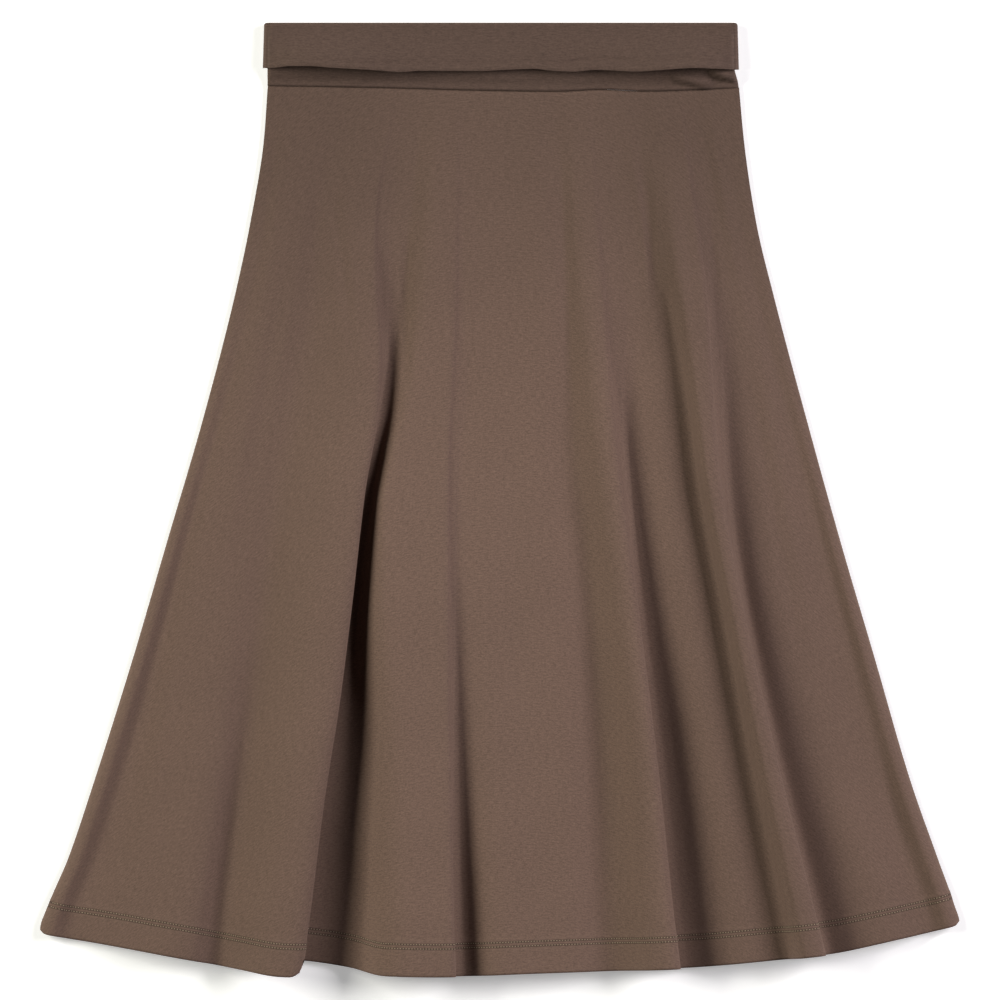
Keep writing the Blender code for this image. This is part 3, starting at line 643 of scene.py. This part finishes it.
def jersey(name, colour, waist_painted_shade, waist_radius, fade):
    """Fine matte jersey. Its cut is a ring's sector where it has a waist radius, and else a plain strip.
    Painted shade darkens it towards the waist, and on a ring's sector also towards its sides and along the
    hem's stitch rows.
    """
    material = bpy.data.materials.new(name)
    material.use_nodes = True
    tree = material.node_tree
    cloth = tree.nodes["Principled BSDF"]
    cloth.inputs["Roughness"].default_value = 0.88
    cloth.inputs["Specular IOR Level"].default_value = 0.22
    cloth.inputs["Sheen Weight"].default_value = 0.05
    cloth.inputs["Sheen Roughness"].default_value = 0.45
    cloth.inputs["Sheen Tint"].default_value = (0.62, 0.52, 0.45, 1.0)
    place = tree.nodes.new("ShaderNodeUVMap")
    place.uv_map = "cut"
    parts = tree.nodes.new("ShaderNodeSeparateXYZ")
    tree.links.new(place.outputs["UV"], parts.inputs["Vector"])
    fabric = tree.nodes.new("ShaderNodeGroup")
    fabric.node_tree = knit
    tree.links.new(parts.outputs["X"], fabric.inputs["Round"])
    tree.links.new(parts.outputs["Y"], fabric.inputs["Down"])
    length = tree.nodes.new("ShaderNodeVectorMath")
    length.operation = "LENGTH"
    tree.links.new(place.outputs["UV"], length.inputs[0])
    # Painted shade: the cloth is painted darker towards the waist, down to the waist's share of its colour,
    # standing in for the dimmer light there.
    painted_waist_shade = tree.nodes.new("ShaderNodeMapRange")
    painted_waist_shade.interpolation_type = "SMOOTHSTEP"
    painted_waist_shade.inputs["From Min"].default_value = waist_radius * MM - 0.02
    painted_waist_shade.inputs["From Max"].default_value = waist_radius * MM + fade
    painted_waist_shade.inputs["To Min"].default_value = waist_painted_shade
    painted_waist_shade.inputs["To Max"].default_value = 1.0
    tree.links.new(length.outputs["Value"], painted_waist_shade.inputs["Value"])
    tone = formula(tree, "MULTIPLY", painted_waist_shade.outputs["Result"], fabric.outputs["Shade"])
    if waist_radius:
        # Painted shade: darker towards the sector's sides, for the dimmer light there.
        sideways = formula(tree, "DIVIDE", parts.outputs["X"], length.outputs["Value"])
        aside = formula(tree, "ABSOLUTE", sideways)
        painted_side_shade = tree.nodes.new("ShaderNodeMapRange")
        painted_side_shade.interpolation_type = "SMOOTHSTEP"
        painted_side_shade.inputs["From Min"].default_value = SIDE_SHADE_FROM
        painted_side_shade.inputs["From Max"].default_value = SIDE_SHADE_TO
        painted_side_shade.inputs["To Min"].default_value = 1.0
        painted_side_shade.inputs["To Max"].default_value = SIDE_PAINTED_SHADE
        tree.links.new(aside, painted_side_shade.inputs["Value"])
        tone = formula(tree, "MULTIPLY", tone, painted_side_shade.outputs["Result"])
        # Painted shade along the hem's two stitch rows, in the grooves they pull in.
        hem_radius = waist_radius + LENGTH - WAIST_SEAM[0][1]
        tone = formula(tree, "MULTIPLY", tone, stitch_row_painted_shade(tree, length.outputs["Value"], hem_radius))
    dyed = tree.nodes.new("ShaderNodeVectorMath")
    dyed.operation = "SCALE"
    dyed.inputs[0].default_value = colour
    tree.links.new(tone, dyed.inputs["Scale"])
    tree.links.new(dyed.outputs["Vector"], cloth.inputs["Base Color"])
    relief = tree.nodes.new("ShaderNodeBump")
    relief.inputs["Strength"].default_value = 0.35
    relief.inputs["Distance"].default_value = 0.00018
    tree.links.new(fabric.outputs["Relief"], relief.inputs["Height"])
    tree.links.new(relief.outputs["Normal"], cloth.inputs["Normal"])
    return material


PANEL_COLOUR = (0.1565, 0.0995, 0.0755)
# Painted shade: the panels are painted darker towards their sides, from the first to the second sine of the
# cut's angle, down to this share, for the dimmer light there.
SIDE_SHADE_FROM = 0.2
SIDE_SHADE_TO = 0.5
SIDE_PAINTED_SHADE = 0.9
STITCH_ROWS = (20.2, 23.3)
STITCH_SINK = 0.3
STITCH_SINK_WIDTH = 0.6
# Painted shade along each stitch row: darkest within the half width, fading out by the reach, in
# millimetres, with this share of the colour at its darkest.
ROW_SHADE_HALF_WIDTH = 0.4
ROW_SHADE_REACH = 1.3
ROW_PAINTED_SHADE = 0.5
WAIST_RADIUS = 242.0
PANEL_SPREAD = 84.0
# The panels are painted to 0.72 of their colour at the waist: painted shade for the dimmer light there.
panel_jersey = jersey("panel_jersey", PANEL_COLOUR, 0.72, WAIST_RADIUS, 0.27)

front_grid, front_shares = front_middle()
front_depth = LENGTH / 2 - front_grid[..., 1]
front_grid[..., 2] += crease_rise(SOFT_CREASES, front_grid[..., 0], front_depth)
front_grid[..., 2] = np.maximum(front_grid[..., 2], FRONT_MIDDLE - 0.5)
over_front_hem = (LENGTH - WAIST_SEAM[0][1]) * (1.0 - front_shares)
for stitched in STITCH_ROWS:
    from_row = (over_front_hem - stitched) / STITCH_SINK_WIDTH
    front_grid[..., 2] -= STITCH_SINK * np.exp(-(from_row**2))[:, None]
TURNED_HALF_CLOTH = 0.8
turned = smooth((HEM_TURN_UP + 1.0 - over_front_hem) / 2.0)
front_half = FRONT_HALF_CLOTH + (TURNED_HALF_CLOTH - FRONT_HALF_CLOTH) * turned
front_cut = flared_cut(front_grid, front_shares, PANEL_SPREAD, WAIST_RADIUS)
skirt_front = make_cloth("front_panel", front_grid, front_half, front_half, front_cut, panel_jersey)
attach(skirt_front, "root")
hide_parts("skirt_front")

# The back panel
# The same cut of the same jersey, lying flat on the table under the front and sewn to it down the sides.

BACK_MIDDLE = 0.75
BACK_HALF_CLOTH = 0.45
BACK_TURNED_HALF_CLOTH = 0.62
BACK_COLUMNS = 150
BACK_SIDE_INSET = 1.2
BACK_HEM_INSET = 2.0
BACK_PANEL_SPREAD = 30.0


def back_middle():
    """The middle of the back's cloth as (row, column, xyz) in millimetres."""
    along = np.linspace(0.0, 1.0, BACK_COLUMNS)
    _, waist_left, waist_right = SIDE_OUTLINE[0]
    _, hem_left, hem_right = SIDE_OUTLINE[-1]
    hem_x = hem_left + (hem_right - hem_left) * along
    past_main = hem_x > MAIN_FOLD[-1][1]
    hem = np.where(past_main, column(HEM_RIGHT, 1, hem_x), column(HEM_LEFT, 1, hem_x)) - BACK_HEM_INSET
    seam = column(WAIST_SEAM, 1, waist_left + (waist_right - waist_left) * along) + SEAM_GAP / 2
    shares = row_shares()
    depth = seam + (hem - seam) * shares[:, None]
    left = column(SIDE_OUTLINE, 1, depth) + BACK_SIDE_INSET
    right = column(SIDE_OUTLINE, 2, depth) - BACK_SIDE_INSET
    across = left + (right - left) * along
    return np.stack([across, LENGTH / 2 - depth, BACK_MIDDLE + back_rise(across, depth)], axis=2), shares


back_grid, back_shares = back_middle()
back_half = BACK_HALF_CLOTH + (BACK_TURNED_HALF_CLOTH - BACK_HALF_CLOTH) * turned
back_cut = flared_cut(back_grid, back_shares, BACK_PANEL_SPREAD, WAIST_RADIUS)
skirt_back = make_cloth("back_panel", back_grid, back_half, back_half, back_cut, panel_jersey)
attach(skirt_back, "root")
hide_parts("skirt_back")

# The waistband
# A tube of doubled jersey, sewn to the top of both panels and folded over once to the outside.
# The flap's free edge is a soft rolled fold, and the tube is pinched into a crease at the right end.

BAND_HALF_CLOTH = 0.85
BAND_LAYER_GAP = 0.2
BAND_LEFT = -164.8
BAND_RIGHT = 166.8
BAND_FRONT_MIDDLE = 6.2
BAND_BACK_MIDDLE = 3.5
SEAM_FRONT_MIDDLE = 3.3
SEAM_BACK_MIDDLE = 1.0
BAND_LEVEL_DEPTH = 34.5
BAND_LEVEL_OVER_SEAM = 2.5
BAND_TURN_RADIUS = 1.25
BAND_TOP = 2.25
BAND_COLUMNS = 170
BAND_SIDE_STEPS = 10
BAND_INNER_ROWS = 26
BAND_TURN_ROWS = 8
BAND_FLAP_ROWS = 34
FLAP_ROW_POWER = 1.4
FLAP_FLARE = 0.9
RIGHT_END_SPREAD = 3.2
RIGHT_END_START = 31.0
EDGE_ROLL_WIDTH = 3.4
EDGE_ROLL_HEIGHT = 0.4
# The band is the panels' jersey painted darker: painted shade for the dimmer light at the waist and under
# the flap.
BAND_COLOUR_WITH_PAINTED_SHADE = (0.088, 0.056, 0.0435)
FLAP_EDGE = (
    # across, depth, lift
    (-168.0, 32.6, 0.2),
    (-160.0, 32.4, 2.5),
    (-150.0, 31.4, 6.9),
    (-136.0, 31.4, 10.0),
    (-119.0, 32.7, 11.2),
    (-102.5, 33.6, 10.6),
    (-84.6, 34.7, 8.8),
    (-71.8, 35.6, 6.9),
    (-56.1, 34.7, 5.6),
    (-13.9, 34.8, 3.8),
    (5.4, 33.9, 3.8),
    (24.6, 33.3, 4.4),
    (39.6, 34.8, 4.8),
    (52.5, 35.3, 4.5),
    (68.9, 34.1, 5.0),
    (98.2, 35.3, 7.5),
    (113.9, 34.4, 10.0),
    (138.9, 32.9, 11.2),
    (154.7, 33.3, 7.5),
    (171.0, 33.8, 0.2),
)
FLAP_CREASES = (
    # start across, start depth, end across, end depth, half width, height
    (44.0, 29.5, 70.0, 25.5, 2.4, -0.9),
    (66.0, 25.5, 98.0, 28.0, 2.4, -0.8),
    (50.0, 32.5, 84.0, 29.5, 2.0, 0.6),
    (-150.0, 26.0, -84.0, 25.0, 6.0, 0.7),
    (-92.0, 30.5, -64.0, 28.0, 3.0, -0.5),
    (104.0, 29.0, 150.0, 24.0, 4.0, -0.6),
    (-26.0, 12.0, 16.0, 14.0, 2.0, 0.3),
    (-60.0, 15.0, -30.0, 12.5, 2.0, -0.25),
    (60.0, 10.0, 110.0, 14.0, 5.0, -0.3),
    (-146.0, 2.0, -144.5, 31.0, 1.2, -0.25),
)
UNDER_CREASES = (
    # start across, start depth, end across, end depth, half width, height
    (150.0, 35.5, 171.0, 40.5, 5.0, 5.5),
    (122.0, 38.0, 152.0, 44.5, 5.0, 4.5),
    (138.0, 30.0, 157.0, 41.2, 2.6, -5.0),
    (152.0, 38.5, 172.0, 45.4, 2.4, -4.5),
    (-118.0, 44.0, -92.0, 41.0, 2.5, 0.5),
    (-30.0, 38.0, 20.0, 41.0, 3.0, 0.4),
    (44.0, 43.0, 84.0, 40.0, 2.5, 0.5),
)


def band_place(stretch, at, across):
    """Depth of one place on the band, how far it lies outside the inner layer, and its share lowered."""
    seam = column(WAIST_SEAM, 1, across) - SEAM_GAP / 2
    if stretch == "inner":
        depth = seam + (BAND_TOP - seam) * at
        level_at = seam - BAND_LEVEL_OVER_SEAM
        return depth, 0.0, smooth((depth - BAND_LEVEL_DEPTH) / (level_at - BAND_LEVEL_DEPTH))
    if stretch == "turn":
        depth = BAND_TOP - BAND_TURN_RADIUS * math.sin(math.pi * at)
        return depth, BAND_TURN_RADIUS * (1.0 - math.cos(math.pi * at)), 0.0
    depth = BAND_TOP + (column(FLAP_EDGE, 1, across) - BAND_TOP) * at
    return depth, 2.0 * BAND_TURN_RADIUS, 0.0


def band_middle():
    """The middle of the waistband's doubled cloth, as closed rows from the seam to the flap's edge."""
    shares = np.linspace(0.0, 1.0, BAND_COLUMNS)
    turn = np.cos(np.linspace(0.0, math.pi, BAND_SIDE_STEPS + 2))[1:-1]
    loop = [(share, 1.0) for share in shares] + [(1.0, facing) for facing in turn]
    loop += [(share, -1.0) for share in shares[::-1]] + [(0.0, -facing) for facing in turn]
    profile = [("inner", i / BAND_INNER_ROWS) for i in range(BAND_INNER_ROWS)]
    profile += [("turn", i / BAND_TURN_ROWS) for i in range(BAND_TURN_ROWS)]
    flap_shares = [i / BAND_FLAP_ROWS for i in range(BAND_FLAP_ROWS + 1)]
    profile += [("flap", 1.0 - (1.0 - share) ** FLAP_ROW_POWER) for share in flap_shares]
    along, facing = np.array(loop).T
    at_end = (along == 0.0) | (along == 1.0)
    rows = []
    for stretch, at in profile:
        across = BAND_LEFT + (BAND_RIGHT - BAND_LEFT) * along
        depth, outside, lowered = band_place(stretch, at, across)
        if stretch == "inner":
            below = (depth - RIGHT_END_START) / (WAIST_SEAM[-1][1] - RIGHT_END_START)
            across = across + RIGHT_END_SPREAD * smooth(below) * along**3
        flap_share = at if stretch == "flap" else 0.0
        top = BAND_FRONT_MIDDLE + (SEAM_FRONT_MIDDLE - BAND_FRONT_MIDDLE) * lowered + outside
        bottom = BAND_BACK_MIDDLE + (SEAM_BACK_MIDDLE - BAND_BACK_MIDDLE) * lowered - outside
        radius = (top - bottom) / 2
        front = np.maximum(facing, 0.0)
        lift = column(FLAP_EDGE, 2, across) * front * smooth(flap_share)
        creases = FLAP_CREASES if stretch == "flap" else UNDER_CREASES
        if stretch != "turn":
            lift = lift + crease_rise(creases, across, depth) * front
        if stretch == "flap":
            to_edge = (1.0 - at) * (column(FLAP_EDGE, 1, across) - BAND_TOP) / EDGE_ROLL_WIDTH
            rolled = np.exp(-(((to_edge - 0.5) / 0.4) ** 2)) - 0.8 * np.exp(-(((to_edge - 1.5) / 0.6) ** 2))
            lift = lift + EDGE_ROLL_HEIGHT * rolled * front
        reach = outside + FLAP_FLARE * flap_share + radius
        bulge = reach * np.sqrt(np.maximum(0.0, 1.0 - facing**2)) - radius * (np.abs(facing) < 1.0)
        outward = np.where(at_end, bulge, 0.0)
        across = across + np.where(along > 0.5, outward, -outward)
        height = (top + bottom) / 2 + radius * facing + lift
        height = np.maximum(height, bottom + (2.0 * BAND_HALF_CLOTH + BAND_LAYER_GAP) * front)
        rows.append(np.column_stack([across, LENGTH / 2 - depth * np.ones(len(along)), height]))
    return np.array(rows)


band_grid = band_middle()
band_steps = np.linalg.norm(np.diff(band_grid, axis=0), axis=2).mean(axis=1)
band_down = np.concatenate([[0.0], np.cumsum(band_steps)])
band_round = np.cumsum(np.linalg.norm(band_grid[0] - np.roll(band_grid[0], 1, 0), axis=1))
band_cut = np.stack(np.meshgrid(band_round, band_down), axis=2)
band_jersey = jersey("band_jersey", BAND_COLOUR_WITH_PAINTED_SHADE, 1.0, 0.0, 0.1)
half = BAND_HALF_CLOTH
waistband = make_cloth("waistband_tube", band_grid, half, half, band_cut, band_jersey, closed=True)
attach(waistband, "root")
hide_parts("waistband")

# The hem stitching
# Two parallel rows of twin-needle stitches hold the turned-up hem, front and back.
# The thread is a little lighter and greener than the jersey, and each stitch sinks in at both ends.

STITCH_PITCH = 2.03
STITCH_LENGTH = 1.4
THREAD_RADIUS = 0.3
THREAD_COLOUR = (0.40, 0.315, 0.21, 1.0)
STITCH_RINGS = 5
STITCH_SIDES = 6
THREAD_BOW = 0.22
THREAD_SINK = 0.12
BACK_THREAD_SINK = 0.35


def point_on(grid, shares, share, along):
    """Points on a grid at a share of its way down, at distances along that row, in millimetres."""
    r = int(np.clip(np.searchsorted(shares, share) - 1, 0, len(shares) - 2))
    part = (share - shares[r]) / (shares[r + 1] - shares[r])
    row = grid[r] + (grid[r + 1] - grid[r]) * part
    reach = np.concatenate([[0.0], np.cumsum(np.linalg.norm(np.diff(row, axis=0), axis=1))])
    return np.stack([np.interp(along, reach, row[:, i]) for i in range(3)], axis=1), reach[-1]


def hem_stitches(name, grid, shares, skin, depth_of_cloth):
    """Every stitch of both rows over one panel's hem, as short threads in one mesh."""
    points, faces = [], []
    for above_hem in STITCH_ROWS:
        share = 1.0 - above_hem / (LENGTH - WAIST_SEAM[0][1])
        _, whole = point_on(grid, shares, share, np.zeros(1))
        starts = np.arange(3.0, whole - 4.0, STITCH_PITCH)
        stations = np.linspace(0.0, 1.0, STITCH_RINGS)
        along = (starts[:, None] + STITCH_LENGTH * stations).ravel()
        centre, _ = point_on(grid, shares, share, along)
        ahead, _ = point_on(grid, shares, share, along + 0.2)
        lower, _ = point_on(grid, shares, share + 0.002, along)
        forward = ahead - centre
        forward /= np.maximum(np.linalg.norm(forward, axis=1, keepdims=True), 1e-9)
        up = np.cross(lower - centre, forward)
        up /= np.maximum(np.linalg.norm(up, axis=1, keepdims=True), 1e-9)
        side = np.cross(forward, up)
        bow = np.tile(np.sin(math.pi * stations), len(starts))[:, None]
        centre = centre + up * (skin * depth_of_cloth + skin * (THREAD_BOW * bow - THREAD_SINK))
        thin = THREAD_RADIUS * (0.45 + 0.55 * bow)
        for i in range(STITCH_SIDES):
            turn = math.tau * i / STITCH_SIDES
            points.append(centre + thin * (side * math.cos(turn) + 0.8 * up * math.sin(turn)))
        base = sum(len(p) for p in points) - STITCH_SIDES * len(centre)
        count = len(centre)
        for s in range(len(starts)):
            first = s * STITCH_RINGS
            for ring in range(first, first + STITCH_RINGS - 1):
                for i in range(STITCH_SIDES):
                    a, b = base + i * count + ring, base + (i + 1) % STITCH_SIDES * count + ring
                    faces.append((a, a + 1, b + 1, b))
            faces.append(tuple(base + i * count + first for i in range(STITCH_SIDES)))
            last = first + STITCH_RINGS - 1
            faces.append(tuple(base + i * count + last for i in reversed(range(STITCH_SIDES))))
    mesh = bpy.data.meshes.new(name)
    mesh.from_pydata((np.vstack(points) * MM).tolist(), [], faces)
    mesh.polygons.foreach_set("use_smooth", [True] * len(faces))
    mesh.materials.append(hem_thread)
    piece = bpy.data.objects.new(name, mesh)
    bpy.context.scene.collection.objects.link(piece)
    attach(piece, "root")


hem_thread = bpy.data.materials.new("hem_thread")
hem_thread.use_nodes = True
thread_tree = hem_thread.node_tree
thread_shader = thread_tree.nodes["Principled BSDF"]
thread_shader.inputs["Roughness"].default_value = 0.6
thread_shader.inputs["Specular IOR Level"].default_value = 0.35
thread_place = thread_tree.nodes.new("ShaderNodeTexCoord")
plies = thread_tree.nodes.new("ShaderNodeTexNoise")
plies.inputs["Scale"].default_value = 900.0
plies.inputs["Detail"].default_value = 2.0
thread_tree.links.new(thread_place.outputs["Object"], plies.inputs["Vector"])
thread_tint = thread_tree.nodes.new("ShaderNodeMix")
thread_tint.data_type = "RGBA"
thread_tint.inputs["A"].default_value = tuple(0.72 * c for c in THREAD_COLOUR[:3]) + (1.0,)
thread_tint.inputs["B"].default_value = tuple(1.2 * c for c in THREAD_COLOUR[:3]) + (1.0,)
thread_tree.links.new(plies.outputs["Fac"], thread_tint.inputs["Factor"])
thread_tree.links.new(thread_tint.outputs["Result"], thread_shader.inputs["Base Color"])
hem_stitches("front_hem_stitches", front_grid, front_shares, 1.0, TURNED_HALF_CLOTH)
back_skin = BACK_TURNED_HALF_CLOTH - BACK_THREAD_SINK
hem_stitches("back_hem_stitches", back_grid, back_shares, -1.0, back_skin)
